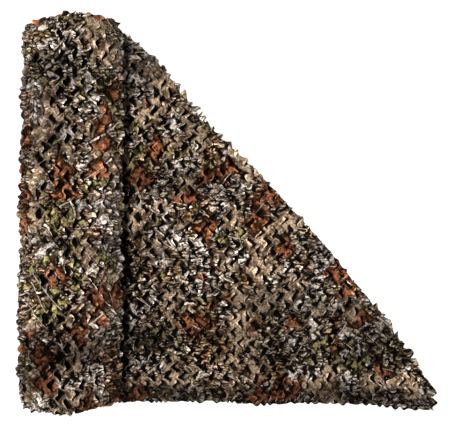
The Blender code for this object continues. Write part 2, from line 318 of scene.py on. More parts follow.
@dataclass(frozen=True)
class LeafCut:
    """The staggered slits that turn flat cloth into a net of curling leaves."""

    pitch_along: float = 0.060
    pitch_across: float = NET_WIDTH / ROWS_ACROSS
    slit: float = 0.052
    opening: float = 0.0094
    lift: float = 0.0135
    sink: float = 0.0060
    wave: float = 0.0080
    wave_pitch: float = 0.046
    ajar: float = 0.0002
    # how far the lean carries the painted shade of sunk lips and the painted highlight of raised ones
    sunk_dim: Pair = (0.04, 0.38)
    sunk_dark: Pair = (0.34, 0.54)
    raised_lit: Pair = (0.16, 0.76)

    def slits(self) -> list[Pair]:
        """The middles of the slits that a tile touches: its own, and those at its corners."""
        x, y = 0.5 * self.pitch_along, 0.5 * self.pitch_across
        return [(0.0, 0.0), (-x, -y), (-x, y), (x, -y), (x, y)]

    def lip(self, x: float, y: float, side: int) -> Triple:
        """How a point moves when the slits open.

        Args:
            x: Its place along the net, from the tile's middle.
            y: Its place across the net.
            side: The side of the slit it is on, where it lies on one: -1 or 1.

        Returns:
            How far it moves aside, how it leans (from -1 to 1, up on the far side of its slit), and how far
            it stands off its slit before opening.
        """
        aside = 0.0
        lean = 0.0
        ajar = 0.0
        for middle_x, middle_y in self.slits():
            share = (y - middle_y) / (0.5 * self.slit)
            away = x - middle_x
            near = 1.0 - abs(away) / (0.5 * self.pitch_along)
            if abs(share) >= 1.0 or near <= 0.0:
                continue
            sign = side if abs(away) < self.ajar else math.copysign(1.0, away)
            strength = (1.0 - share * share) * near * near
            aside += 0.5 * sign * self.opening * strength
            lean += sign * strength
            if abs(away) < self.ajar:
                ajar = sign * self.ajar
        return aside, lean, ajar

    def stand(self, lean: Array) -> Array:
        """How high the lips stand off the cloth for how they lean."""
        return np.where(lean > 0.0, lean * self.lift, lean * self.sink)

    def painted_lip_light(self, lean: Array) -> Array:
        """Painted shade and painted highlight of the lips for how they lean: sunk ones shaded, up to 1,
        raised ones lit, to -1.
        """
        sunk = 0.50 * soft_step(-lean, *self.sunk_dim) + 0.50 * soft_step(-lean, *self.sunk_dark)
        return sunk - soft_step(lean, *self.raised_lit)

    def tile(self, grain: Grain) -> bpy.types.Mesh:
        """Make one flat tile with its slit in the middle, each point holding how it opens.

        Args:
            grain: How fine it is.

        Returns:
            The tile's mesh.
        """
        columns, rows = grain.value
        middle = columns // 2
        spots: dict[tuple[int, int, int], int] = {}
        places: list[Triple] = []
        lips: list[float] = []

        def corner(column: int, row: int, half: int) -> int:
            """Find or make the point at a grid corner.

            Args:
                column: The corner's column.
                row: Its row.
                half: The half of the tile, -1 or 1, that asks for it: a slit has a point for each.

            Returns:
                The point's number.
            """
            x = self.pitch_along * (column / columns - 0.5)
            y = self.pitch_across * (row / rows - 0.5)
            split = column == middle and abs(y) < 0.5 * self.slit
            key = (column, row, half if split else 0)
            if key not in spots:
                side = half if column == middle else int(math.copysign(1, middle - column))
                aside, lean, ajar = self.lip(x, y, side)
                spots[key] = len(places)
                places.append((x + ajar, y, 0.0))
                lips.extend((aside, 0.0, lean))
            return spots[key]

        faces = []
        for column in range(columns):
            half = -1 if column < middle else 1
            for row in range(rows):
                faces.append((
                    corner(column, row, half),
                    corner(column + 1, row, half),
                    corner(column + 1, row + 1, half),
                    corner(column, row + 1, half),
                ))
        mesh = bpy.data.meshes.new("cut_tile")
        mesh.from_pydata(places, [], faces)
        mesh.attributes.new("lip", 'FLOAT_VECTOR', 'POINT').data.foreach_set("vector", lips)
        return mesh


class FlatNet(NamedTuple):
    """A stretch of cut net before it is laid.

    Attributes:
        mesh: Its mesh.
        length: How long it is, in whole tiles.
        grid: Its points' places as if the slits were straight and shut.
        printed: Their places on the printed cloth, with the slits' waves.
        opened: Their places with the slits open. The third number is how the lip leans.
    """

    mesh: bpy.types.Mesh
    length: float
    grid: Array
    printed: Array
    opened: Array

    def drawn_shut(self, share: Array) -> Array:
        """Places along the net with the slits drawn shut by a share of their opening."""
        return self.opened[:, 0] + (self.printed[:, 0] - self.opened[:, 0]) * share


class Draw(Enum):
    """Which chance values a noise gives, as a shift of its place."""

    SPREAD = 0.0
    CURL = 3.0
    REACH = 5.0
    ZONE = 7.0
    BOW = 9.0


class NetGraph(Graph):
    """The Geometry Nodes that repeat a cut tile into a stretch of net."""

    inputs = {
        "Tile": 'Geometry', "Tiles Along": 'Int', "Tiles Across": 'Int', "Pitch Along": 'Float',
        "Pitch Across": 'Float', "Wave": 'Float', "Seed": 'Float', "Cloth": 'Material',
    }

    def __init__(self, cut: LeafCut) -> None:
        """Start a tree with its inputs and its output.

        Args:
            cut: The sizes of the slits.
        """
        super().__init__(bpy.data.node_groups.new("leaf_cut_net", 'GeometryNodeTree'))
        self.cut = cut
        for name, kind in self.inputs.items():
            self.tree.interface.new_socket(name=name, in_out='INPUT', socket_type='NodeSocket' + kind)
        self.tree.interface.new_socket(name="Net", in_out='OUTPUT', socket_type='NodeSocketGeometry')
        self.given = self.add("NodeGroupInput").outputs
        self.place = self.add("GeometryNodeInputPosition").outputs[0]

    def build(self) -> bpy.types.NodeTree:
        """Fill the tree: repeat the tile, weld it, wave the slits and open them.

        Returns:
            The tree, with everything in it.
        """
        grid = self.add("GeometryNodeMeshGrid", {
            "Size X": (self._number("Tiles Along") - 1.0) * self._number("Pitch Along"),
            "Size Y": (self._number("Tiles Across") - 1.0) * self._number("Pitch Across"),
            "Vertices X": self.given["Tiles Along"],
            "Vertices Y": self.given["Tiles Across"],
        })
        tiles = self.add("GeometryNodeInstanceOnPoints", {
            "Points": grid.outputs["Mesh"], "Instance": self.given["Tile"],
        })
        loose = self.add("GeometryNodeRealizeInstances", {"Geometry": tiles.outputs[0]})
        net = self.add("GeometryNodeMergeByDistance", {
            "Geometry": loose.outputs[0], "Distance": 0.25 * self.cut.ajar,
        })
        for name, offset in (("grid", self._wave()), ("printed", self._opening())):
            feeds = {"Geometry": net.outputs[0], "Name": name, "Value": self.place}
            kept = self.add("GeometryNodeStoreNamedAttribute", feeds, data_type='FLOAT_VECTOR')
            net = self.add("GeometryNodeSetPosition", {"Geometry": kept.outputs[0], "Offset": offset})
        feeds = {"Geometry": net.outputs[0], "Material": self.given["Cloth"]}
        self.add("NodeGroupOutput", {"Net": self.add("GeometryNodeSetMaterial", feeds).outputs[0]})
        return self.tree

    def _number(self, name: str) -> Value:
        """One of the numbers that the tree is given."""
        return Value(self, self.given[name])

    def _chance(self, draw: Draw, size: float, detail: float = 0.0) -> Value:
        """Noise that is this draw's own, and the seed's."""
        shift = self.add("ShaderNodeCombineXYZ", {"X": draw.value, "Z": self.given["Seed"]}).outputs[0]
        return self.noise(self.vector('ADD', self.place, shift), size, detail)

    def _wave(self) -> Socket:
        """Make the slits run in waves.

        Returns:
            How far the waves carry each point along the net.
        """
        bow = self._chance(Draw.BOW, size=0.22) * 7.0
        reach = self._chance(Draw.REACH, size=0.13).between(0.3, 0.7, 0.5, 1.3)
        phase = self.part(self.place, 1) * (2.0 * math.pi / self.cut.wave_pitch) + bow
        wave = phase.cosine() * reach * self._number("Wave")
        return self.add("ShaderNodeCombineXYZ", {"X": wave}).outputs[0]

    def _opening(self) -> Socket:
        """Open the slits, unevenly from leaf to leaf.

        Returns:
            How far each point moves.
        """
        kept = self.add("GeometryNodeInputNamedAttribute", {"Name": "lip"}, data_type='FLOAT_VECTOR')
        lip = kept.outputs[0]
        zone = self._chance(Draw.ZONE, size=0.26).between(0.35, 0.6, 0.85, 1.12)
        spread = self._chance(Draw.SPREAD, size=0.060, detail=1.0).between(0.34, 0.62, 0.40, 1.35)
        curl = self._chance(Draw.CURL, size=0.050, detail=1.0).between(0.34, 0.62, 0.60, 1.5)
        moved = {"X": self.part(lip, 0) * spread * zone, "Z": self.part(lip, 2) * curl * zone}
        return self.add("ShaderNodeCombineXYZ", moved).outputs[0]


@dataclass(frozen=True)
class NetWeaver:
    """Makes stretches of net, cut and dressed."""

    cut: LeafCut
    material: bpy.types.Material

    def weave(self, name: str, length: float, grain: Grain, seed: float) -> FlatNet:
        """Make a flat stretch of net.

        Args:
            name: What the stretch is called.
            length: About how long it is: it gets whole tiles.
            grain: How fine its tiles are.
            seed: Which chance openings it takes.

        Returns:
            The stretch, with its first tile's corner at 0, 0.
        """
        tiles = round(length / self.cut.pitch_along)
        tree = NetGraph(self.cut).build()
        host = placed(name + "_flat", self.cut.tile(grain))
        modifier = host.modifiers.new("Net", 'NODES')
        modifier.node_group = tree
        chosen = {
            "Tiles Along": tiles, "Tiles Across": ROWS_ACROSS,
            "Pitch Along": self.cut.pitch_along, "Pitch Across": self.cut.pitch_across,
            "Wave": self.cut.wave, "Seed": seed, "Cloth": self.material,
        }
        for item in tree.interface.items_tree:
            if item.name in chosen:
                modifier[item.identifier] = chosen[item.name]
        graph = bpy.context.evaluated_depsgraph_get()
        mesh = bpy.data.meshes.new_from_object(host.evaluated_get(graph))
        host.modifiers.remove(modifier)
        bpy.data.objects.remove(host, do_unlink=True)
        bpy.data.node_groups.remove(tree)
        woven = tiles * self.cut.pitch_along
        corner = np.array([0.5 * woven, 0.5 * ROWS_ACROSS * self.cut.pitch_across, 0.0])
        places = []
        for source in ("grid", "printed", "position"):
            read = np.empty(len(mesh.vertices) * 3, np.float32)
            mesh.attributes[source].data.foreach_get("vector", read)
            places.append(read.reshape(-1, 3) + corner)
        for spare in ("grid", "printed", "lip"):
            mesh.attributes.remove(mesh.attributes[spare])
        mesh.name = name
        return FlatNet(mesh, woven, *places)


@dataclass(frozen=True)
class Rim:
    """The cut edges of the net, which run through its leaves and leave pointed tips."""

    tip_pitch: float = 0.037
    tip_reach: float = 0.012
    tip_middle: float = 0.55
    usual: float = 0.8
    limits: Pair = (0.2, 1.5)
    seed: int = 5

    def tips(self, along: Array, edge: int) -> Array:
        """Shape an edge into round tips with sharp notches between.

        Args:
            along: Places along the edge.
            edge: Which edge it is: each has its own chance values.

        Returns:
            How far the edge stands out there.
        """
        still = np.zeros_like(along)
        uneven = Wobble(size=0.060, height=0.75, seed=self.seed + edge).at(along, still)
        drift = Wobble(size=0.13, height=0.75, seed=self.seed + 7 + edge).at(along, still)
        tip = np.abs(np.sin(math.pi * (along / self.tip_pitch + drift)))
        return self.tip_reach * np.clip(self.usual + uneven, *self.limits) * (tip - self.tip_middle)

    def fray(self, net: FlatNet, cut_end: bool) -> None:
        """Give a stretch its ragged edges.

        Args:
            net: The stretch, changed in place.
            cut_end: Whether its far end is a cut edge too.
        """
        near = net.grid[:, 1] < 0.001
        far = net.grid[:, 1] > NET_WIDTH - 0.001
        net.opened[near, 1] -= self.tips(net.grid[near, 0], 0)
        net.opened[far, 1] += self.tips(net.grid[far, 0], 1)
        if cut_end:
            end = net.grid[:, 0] > net.length - 0.001
            net.opened[end, 0] += self.tips(net.grid[end, 1], 2)


class RollStation(NamedTuple):
    """The roll's form at one place along its length: how far each side moves out, and its height."""

    y: float
    left: float
    right: float
    height: float


ROLL_STATIONS = (
    RollStation(y=-0.75, left=0.006, right=-0.004, height=0.975),
    RollStation(y=-0.60, left=0.010, right=-0.004, height=1.000),
    RollStation(y=-0.25, left=0.006, right=0.000, height=0.990),
    RollStation(y=0.10, left=0.000, right=0.000, height=1.000),
    RollStation(y=0.45, left=-0.006, right=0.002, height=0.985),
    RollStation(y=0.75, left=-0.010, right=0.000, height=0.970),
)


@dataclass(frozen=True)
class RollForm:
    """The wound net: one long spiral whose turns start under the roll, where the loose end leaves it."""

    centre_x: float
    centre_y: float
    half_width: float = 0.200
    half_height: float = 0.165
    half_length: float = 0.748
    flat_drop: float = 0.012
    leave_angle: float = math.radians(-60.0)
    turns: float = 14.0
    core_share: float = 0.07
    end_rise: float = 0.020
    end_crown: float = 0.010
    end_skew: Pair = (0.005, 0.017)
    droop: float = 0.016
    droop_reach: float = 0.060
    press: Pair = (0.015, 0.075)
    hang_tilt: float = 1.7
    hang_turn: Pair = (0.24, 0.46)

    def share(self, turn: Array) -> Array:
        """How large the spiral is after some turns, 1 on the outside."""
        return 1.0 - turn * (1.0 - self.core_share) / self.turns

    def angle(self, turn: Array) -> Array:
        """Where round the roll the spiral is after some turns."""
        return self.leave_angle - 2.0 * math.pi * turn

    def turn_at(self, run: Array) -> Array:
        """Count the turns of the spiral.

        Args:
            run: How far into the roll each point lies, in metres of cloth.

        Returns:
            How many turns the spiral has made by there.
        """
        turn = np.linspace(0.0, self.turns, 96 * int(self.turns))
        x = self.half_width * self.share(turn) * np.cos(self.angle(turn))
        z = self.half_height * self.share(turn) * np.sin(self.angle(turn))
        steps = np.hypot(np.diff(x), np.diff(z))
        return np.interp(run, np.concatenate(([0.0], np.cumsum(steps))), turn)

    def run_of(self, turn: float) -> float:
        """How much cloth the first turns take, in metres."""
        runs = np.linspace(0.0, NET_LENGTH, 2001)
        return float(np.interp(turn, self.turn_at(runs), runs))

    def hang(self, run: Array, across: Array) -> Array:
        """Choose which lips stand up: always the upper ones, which hang over the cut.

        Args:
            run: How far into the roll each point lies, in metres of cloth.
            across: Its place across the net.

        Returns:
            A factor on the lean, from -1, where the lips nearer to the roll's start stand up, to 1.
        """
        uneven = Wobble(size=0.10, height=0.75, seed=41).at(run, across)
        leftward = uneven - self.hang_tilt * np.cos(self.angle(self.turn_at(run)))
        return 2.0 * soft_step(leftward, *self.hang_turn) - 1.0

    def wrap(self, run: Array, across: Array, lift: Array) -> Array:
        """Carry flat net onto the spiral.

        Args:
            run: How far into the roll each point lies, in metres of cloth.
            across: Its place across the net, from its middle.
            lift: How far it stands off the cloth, outwards.

        Returns:
            Places in the frame.
        """
        turn = self.turn_at(run)
        angle = self.angle(turn)
        share = self.share(turn)
        edge = self.half_length + self.end_rise * np.sin(angle) * share
        edge = edge + self.end_crown * (1.0 - share * share)
        edge = edge + Wobble(size=0.22, height=0.007, seed=31).at(run, np.sign(across) * 5.0)
        to_end = across / (0.5 * NET_WIDTH)
        skew = np.where(to_end < 0.0, self.end_skew[0], self.end_skew[1])
        local_y = to_end * edge + skew * to_end * to_end * share * np.cos(angle)
        table_y, *tables = np.transpose(ROLL_STATIONS)
        left, right, height = (np.interp(local_y, table_y, table) for table in tables)
        half_width = self.half_width + np.where(np.cos(angle) < 0.0, left, right)
        half_height = self.half_height * height
        level = half_height * (1.0 + share * np.sin(angle)) - self.flat_drop
        free = soft_step(level, *self.press)
        to_edge = np.clip(1.0 - (edge - np.abs(local_y)) / self.droop_reach, 0.0, 1.0)
        lumps = Wobble(size=0.26, height=0.0035, seed=17).at(local_y, angle * self.half_width)
        sunk = crease_depth(local_y * 0.0 + self.centre_x, local_y) + self.droop * to_edge * to_edge
        out = free * (lift + lumps - sunk * share)
        x = self.centre_x + (half_width * share + out) * np.cos(angle)
        z = half_height - self.flat_drop + (half_height * share + out) * np.sin(angle)
        return np.stack([x, self.centre_y + local_y, np.maximum(z, FLOOR_CLEARANCE)], axis=1)


class EdgePoint(NamedTuple):
    """Where the loose end's lower edge lies."""

    x: float
    y: float


class FoldPoint(NamedTuple):
    """How far the fold's line is bowed out, at a share of its length."""

    along: float
    out: float


LOWER_EDGE = (
    EdgePoint(x=-0.53, y=-0.790),
    EdgePoint(x=-0.20, y=-0.786),
    EdgePoint(x=0.02, y=-0.788),
    EdgePoint(x=0.10, y=-0.800),
    EdgePoint(x=0.30, y=-0.792),
    EdgePoint(x=0.58, y=-0.798),
    EdgePoint(x=0.70, y=-0.812),
    EdgePoint(x=0.87, y=-0.818),
)

FOLD_LINE = (
    FoldPoint(along=0.00, out=0.000),
    FoldPoint(along=0.10, out=0.026),
    FoldPoint(along=0.20, out=0.013),
    FoldPoint(along=0.30, out=0.017),
    FoldPoint(along=0.40, out=0.039),
    FoldPoint(along=0.50, out=0.045),
    FoldPoint(along=0.62, out=0.050),
    FoldPoint(along=0.74, out=0.039),
    FoldPoint(along=0.81, out=0.044),
    FoldPoint(along=0.89, out=0.019),
    FoldPoint(along=0.95, out=0.009),
    FoldPoint(along=1.00, out=0.000),
)


@dataclass(frozen=True)
class LooseEndForm:
    """The cloth beside the roll, laid on the floor with its far corner turned under along a fold."""

    shift_x: float
    shift_y: float
    roll: RollForm
    root_x: float = -0.530
    end_x: float = 0.868
    upper_edge_y: float = 0.758
    fold_start: Pair = (-0.436, 0.756)
    fold_end: Pair = (0.866, -0.741)
    fold_radius: float = 0.008
    corner_place: Pair = (-0.480, -0.752)
    under_z: float = 0.0082
    bow_reach: float = 0.350
    belly_gap: float = 0.004
    press: Pair = (0.100, 0.170)
    crease_share: float = 0.8
    under_free: float = 0.8
    under_reach: float = 0.020
    rim_droop: float = 0.070
    rim_drop: float = 0.8
    rim_z: float = 0.004
    rim_band: Pair = (0.105, 0.070)
    corner_band: Pair = (0.200, 0.140)
    corner_reach: Pair = (0.230, 0.150)
    fold_band: Pair = (0.050, 0.025)

    @property
    def length(self) -> float:
        """How much of the net's length lies beside the roll."""
        return self.end_x - self.root_x

    def _axes(self) -> tuple[Array, Array, float]:
        """Find how the fold runs.

        Returns:
            Its direction, the direction out over it, and its length.
        """
        run = np.subtract(self.fold_end, self.fold_start)
        length = float(np.hypot(*run))
        along = run / length
        return along, np.array([-along[1], along[0]]), length

    def _pull(self, outward: Array) -> Array:
        """Find how the turned cloth runs on from the bend.

        Args:
            outward: The direction out over the fold.

        Returns:
            Which way it runs, and how far for each metre.
        """
        corner = np.array([self.end_x, self.upper_edge_y])
        past = float((corner - self.fold_start) @ outward)
        foot = corner - past * outward
        return (np.array(self.corner_place) - foot) / (past - math.pi * self.fold_radius)

    def _belly(self, x: Array) -> Array:
        """Find how high the roll's underside is.

        Args:
            x: Places on the floor, in the loose end's own x.

        Returns:
            The heights over them.
        """
        away = np.abs(x + self.shift_x - self.roll.centre_x)
        across = np.minimum(away / self.roll.half_width, 1.0)
        rise = self.roll.half_height * (1.0 - np.sqrt(1.0 - across * across))
        under = np.maximum(rise - self.roll.flat_drop, 0.002)
        return np.where(away < self.roll.half_width, under, 1.0)

    def _flat(self, along: Array, across: Array) -> Array:
        """Carry flat net onto the floor, not folded yet.

        Args:
            along: How far from the roll each point lies, in metres of cloth.
            across: Its place across the net, from its lower edge.

        Returns:
            Its x and y, in the loose end's own.
        """
        x = self.root_x + along
        lower = np.interp(x, *np.transpose(LOWER_EDGE))
        return np.stack([x, lower + (self.upper_edge_y - lower) * across / NET_WIDTH], axis=1)

    def lay(self, along: Array, across: Array, lift: Array) -> Array:
        """Carry flat net onto the floor and fold it.

        Args:
            along: How far from the roll each point lies, in metres of cloth.
            across: Its place across the net, from its lower edge.
            lift: How far it stands off the cloth.

        Returns:
            Places in the frame.
        """
        direction, outward, fold_length = self._axes()
        flat = self._flat(along, across)
        past = (flat - self.fold_start) @ outward
        foot = flat - past[:, None] * outward
        run = (foot - self.fold_start) @ direction / fold_length
        bow = np.interp(run, *np.transpose(FOLD_LINE))
        beyond = past - math.pi * self.fold_radius
        from_fold = np.where(beyond > 0.0, beyond, np.maximum(-past, 0.0))
        bow = (bow - self.fold_radius) * (1.0 - soft_step(from_fold, 0.0, self.bow_reach))
        turn = np.clip(past / self.fold_radius, 0.0, math.pi)
        out = np.minimum(past, 0.0) + (self.fold_radius + lift) * np.sin(turn) + bow
        pulled = np.maximum(beyond, 0.0)[:, None] * self._pull(outward)
        place = foot + out[:, None] * outward + pulled
        upper_z = self.under_z + 2.0 * self.fold_radius
        level = upper_z - self.fold_radius * (1.0 - np.cos(turn))
        uneven = Wobble(size=0.24, height=0.0025, seed=23).at(place[:, 0], place[:, 1])
        uneven = uneven - crease_depth(place[:, 0] - self.shift_x, place[:, 1]) * self.crease_share
        level = level + uneven * np.where(turn < math.pi, 1.0, 0.0)
        belly = self._belly(place[:, 0])
        free = soft_step(place[:, 0] + self.shift_x - self.roll.centre_x, *self.press)
        free = np.where(beyond > 0.0, self.under_free, free)
        z = np.minimum(level, np.where(beyond > 0.0, 1.0, belly - self.belly_gap))
        to_rim = soft_step(across, self.rim_droop, 0.0)
        z = z - (z - self.rim_z) * to_rim * np.where(beyond > 0.0, 0.0, self.rim_drop)
        z = z + free * lift * np.cos(turn)
        place = place + np.array([self.shift_x, self.shift_y])
        return np.column_stack([place, np.maximum(z, FLOOR_CLEARANCE)])

    def near_rim(self, along: Array, across: Array) -> Array:
        """How near each point lies to the rim that rests on the floor alone, from 0 to 1."""
        corner = soft_step(along, self.length - self.corner_reach[0], self.length - self.corner_reach[1])
        return np.maximum(soft_step(across, *self.rim_band), corner * soft_step(across, *self.corner_band))

    def past_fold(self, along: Array, across: Array) -> Array:
        """How far past the fold each point lies while the cloth is flat."""
        return (self._flat(along, across) - self.fold_start) @ self._axes()[1]

    def at_fold(self, along: Array, across: Array) -> Array:
        """How near each point lies to the fold, from 0 to 1."""
        return soft_step(np.abs(self.past_fold(along, across)), *self.fold_band)

    def under(self, along: Array, across: Array) -> Array:
        """How much each point lies beneath other cloth, from 0 to 1."""
        bend = math.pi * self.fold_radius
        return soft_step(self.past_fold(along, across), 0.5 * bend, bend + self.under_reach)


@dataclass(frozen=True)
class BarkPrint:
    """Dark, streaky bark with pale lichen patches. Each stain has its own place in the clouds."""

    wood: Stops = (
        (0.38, (0.020, 0.011, 0.005)),
        (0.46, (0.070, 0.045, 0.026)),
        (0.51, (0.170, 0.122, 0.082)),
        (0.57, (0.320, 0.245, 0.178)),
        (0.64, (0.700, 0.610, 0.500)),
    )
    lichen: Stops = (
        (0.37, (0.020, 0.013, 0.008)),
        (0.45, (0.140, 0.112, 0.088)),
        (0.51, (0.380, 0.335, 0.285)),
        (0.58, (0.820, 0.765, 0.690)),
    )
    crack: Colour = (0.010, 0.006, 0.003)
    stains: tuple[tuple[Triple, Colour], ...] = (
        ((2.0, 8.0, 3.0), (0.92, 0.89, 0.70)),
        ((6.0, 1.0, 7.0), (1.00, 0.78, 0.62)),
    )


@dataclass(frozen=True)
class LeafPrint:
    """One kind of printed leaf, in clusters."""

    light: Colour
    dark: Colour
    leaf: float
    share: float
    cluster: float
    cover: float
    points: float
    outline: float
    offset: Triple
    edge: Colour = (0.008, 0.004, 0.0015)


@dataclass(frozen=True)
class TwigPrint:
    """Thin, nearly straight twigs that lean one way."""

    lean: float
    pitch: float
    half: float
    offset: Triple
    wood: Colour = (0.58, 0.50, 0.41)
    edge: Colour = (0.006, 0.004, 0.003)


class PrintGraph(Graph):
    """The cloth's material, which starts from the print's flat coordinates."""

    def __init__(self, tree: bpy.types.NodeTree) -> None:
        """Empty a tree and give it the print's coordinates.

        Args:
            tree: The material's tree.
        """
        super().__init__(tree)
        tree.nodes.clear()
        self.place = self.add("ShaderNodeUVMap", uv_map=PRINT_MAP).outputs[0]

    def bark_layer(self, kind: BarkPrint) -> Socket:
        """Print streaky bark with lichen patches, cracks and stains.

        Args:
            kind: The bark.

        Returns:
            The colour of the cloth with nothing else on it.
        """
        bent = self.bend(self.place, size=0.030, reach=0.018)
        grain_place = self.vector('MULTIPLY', bent, (0.55, 1.5, 1.0))
        grain = self.noise(grain_place, size=0.0165, detail=4.0, roughness=0.66)
        wood = self.ramp(grain, kind.wood)
        fleck_place = self.vector('MULTIPLY', bent, (0.6, 1.3, 1.0))
        flecks = self.noise(fleck_place, size=0.0165, detail=4.0, roughness=0.68)
        lichen = self.ramp(flecks, kind.lichen)
        patches = self.noise(self.vector('ADD', self.place, (5.0, 5.0, 5.0)), size=0.085, detail=3.0)
        colour = self.mix(patches.between(0.43, 0.52), wood, lichen)
        crack_place = self.vector('MULTIPLY', bent, (0.5, 1.4, 1.0))
        cracks = abs(self.noise(crack_place, size=0.024, detail=1.0) - 0.5)
        colour = self.mix(cracks.between(0.035, 0.075), kind.crack, colour)
        for offset, tint in kind.stains:
            stain = self.noise(self.vector('ADD', self.place, offset), size=0.17)
            colour = self.mix(stain.between(0.50, 0.62), colour, tint, 'MULTIPLY')
        return colour

    def leaf_layer(self, under: Feed, kind: LeafPrint) -> Socket:
        """Print one kind of leaf over what is there.

        Args:
            under: The colour underneath.
            kind: The leaf.

        Returns:
            The colour with the leaves on it.
        """
        moved = self.vector('ADD', self.place, kind.offset)
        bent = self.bend(moved, 0.5 * kind.leaf, 0.45 * kind.leaf)
        cells = self.add(
            "ShaderNodeTexVoronoi",
            {"Vector": bent, "Scale": 1.0 / kind.leaf, "Exponent": kind.points, "Randomness": 0.9},
            voronoi_dimensions='2D',
            feature='F1',
            distance='MINKOWSKI',
        ).outputs
        reach = Value(self, cells["Distance"])
        lots = self.add("ShaderNodeSeparateColor", {0: cells["Color"]}).outputs
        tone = Value(self, lots[0])
        drawn = Value(self, lots[1]).between(kind.share + 0.01, kind.share - 0.01)
        veins = self.noise(bent, size=0.020, roughness=0.65).between(0.38, 0.62)
        lit = (veins * 0.9 + tone * 0.45 - reach * 0.55).between(-0.05, 0.82)
        leaf_colour = self.mix(lit, kind.dark, kind.light)
        rim = reach.between(0.56, 0.70)
        leaf_colour = self.mix(rim * kind.outline, leaf_colour, kind.edge)
        clouds = self.noise(moved, size=kind.cluster, detail=2.5, roughness=0.55)
        cluster = clouds.between(kind.cover, kind.cover + 0.03)
        inside = reach.between(0.95, 0.85)
        return self.mix(cluster * inside * drawn, under, leaf_colour)

    def twig_layer(self, under: Feed, kind: TwigPrint) -> Socket:
        """Draw one lean of pale twigs with dark edges over what is there.

        Args:
            under: The colour underneath.
            kind: The twigs.

        Returns:
            The colour with the twigs on it.
        """
        turned = self.add(
            "ShaderNodeVectorRotate", {"Vector": self.place, "Angle": kind.lean}, rotation_type='Z_AXIS'
        ).outputs[0]
        moved = self.vector('ADD', self.vector('MULTIPLY', turned, (0.12, 1.0, 1.0)), kind.offset)
        away = abs(self.noise(moved, size=kind.pitch, detail=1.5, roughness=0.45) - 0.5)
        clouds = self.noise(self.vector('ADD', self.place, kind.offset), size=0.11, detail=1.0)
        here = clouds.between(0.54, 0.59)
        edge = away.between(2.4 * kind.half, 1.4 * kind.half) * here * 0.9
        under = self.mix(edge, under, kind.edge)
        return self.mix(away.between(1.1 * kind.half, 0.6 * kind.half) * here, under, kind.wood)


@dataclass(frozen=True)
class CamoPrint:
    """Matt woven cloth printed with bark, leaves, moss and twigs of a plain woodland design."""

    name: str = "camo_cloth"
    bark: BarkPrint = BarkPrint()
    leaves: tuple[LeafPrint, ...] = (
        LeafPrint(
            light=(0.780, 0.715, 0.630), dark=(0.105, 0.082, 0.063), leaf=0.066, share=0.62, cluster=0.190,
            cover=0.53, points=0.70, outline=0.70, offset=(4.4, 6.1, 1.0),
        ),
        LeafPrint(
            light=(0.300, 0.258, 0.115), dark=(0.020, 0.016, 0.006), leaf=0.048, share=0.70, cluster=0.210,
            cover=0.55, points=0.65, outline=0.90, offset=(7.3, 2.9, 3.0),
        ),
        LeafPrint(
            light=(0.455, 0.350, 0.238), dark=(0.110, 0.070, 0.040), leaf=0.092, share=0.75, cluster=0.250,
            cover=0.50, points=0.80, outline=0.50, offset=(1.7, 4.1, 0.0),
        ),
        LeafPrint(
            light=(0.300, 0.118, 0.054), dark=(0.030, 0.011, 0.005), leaf=0.100, share=0.34, cluster=0.300,
            cover=0.45, points=0.70, outline=0.80, offset=(3.1, 8.7, 6.0),
        ),
    )
    twigs: tuple[TwigPrint, ...] = (
        TwigPrint(lean=0.60, pitch=0.110, half=0.0062, offset=(2.0, 0.0, 9.0)),
        TwigPrint(lean=-0.95, pitch=0.130, half=0.0050, offset=(0.0, 6.0, 4.0)),
        TwigPrint(lean=0.12, pitch=0.090, half=0.0064, offset=(5.0, 3.0, 2.0)),
    )
    roughness: float = 0.82
    sheen: float = 0.01
    weave_pitch: float = 0.0016

    def material(self) -> bpy.types.Material:
        """Build the cloth's material.

        Returns:
            The material.
        """
        material = bpy.data.materials.new(self.name)
        material.use_nodes = True
        graph = PrintGraph(material.node_tree)
        place = graph.place
        colour = graph.bark_layer(self.bark)
        for kind in self.leaves:
            colour = graph.leaf_layer(colour, kind)
        for kind in self.twigs:
            colour = graph.twig_layer(colour, kind)
        speck = graph.noise(place, size=0.0080, roughness=0.65).between(0.38, 0.62, 0.52, 1.42)
        # Random tone over the print, darker towards the net's lower edge and a little darker towards its
        # upper edge
        drawn_out = graph.vector('MULTIPLY', place, (0.5, 1.6, 1.0))
        shade = graph.noise(drawn_out, size=0.26, detail=1.0).between(0.36, 0.58, 0.50, 1.06)
        wandering = graph.part(graph.bend(place, size=0.25, reach=0.20), 1)
        shade = shade * wandering.between(0.15, 0.62, 0.68, 1.0) * wandering.between(1.00, 1.35, 1.0, 0.82)
        # Painted shade and painted highlight: cloth marked deep is darkened nearly to black, lit lips are
        # brightened up to 2.9 times
        inside = Value(graph, graph.add("ShaderNodeAttribute", attribute_name=PAINTED_LIGHT).outputs["Fac"])
        light = speck * shade * inside.between(0.0, 1.0, 0.95, 0.02) * inside.between(-1.0, 0.0, 2.9, 1.0)
        tint = graph.add("ShaderNodeCombineColor", {0: light * 1.06, 1: light, 2: light * 0.97}).outputs[0]
        colour = graph.mix(1.0, colour, tint, 'MULTIPLY')
        threads = [
            graph.add(
                "ShaderNodeTexWave",
                {"Vector": place, "Scale": 0.5 / self.weave_pitch, "Distortion": 0.6, "Detail": 1.0},
                bands_direction=axis,
            ).outputs[1]
            for axis in ('X', 'Y')
        ]
        weave = Value(graph, threads[0]) + Value(graph, threads[1])
        bump = graph.add("ShaderNodeBump", {"Strength": 0.25, "Distance": 0.0004, "Height": weave})
        rough = graph.noise(place, size=0.030).between(0.3, 0.7, self.roughness - 0.10, self.roughness + 0.10)
        shader = graph.add("ShaderNodeBsdfPrincipled", {
            "Base Color": colour, "Roughness": rough, "Normal": bump.outputs[0],
            "Specular IOR Level": 0.03, "Sheen Weight": self.sheen, "Sheen Roughness": 0.5,
        })
        graph.add("ShaderNodeOutputMaterial", {"Surface": shader.outputs[0]})
        return material


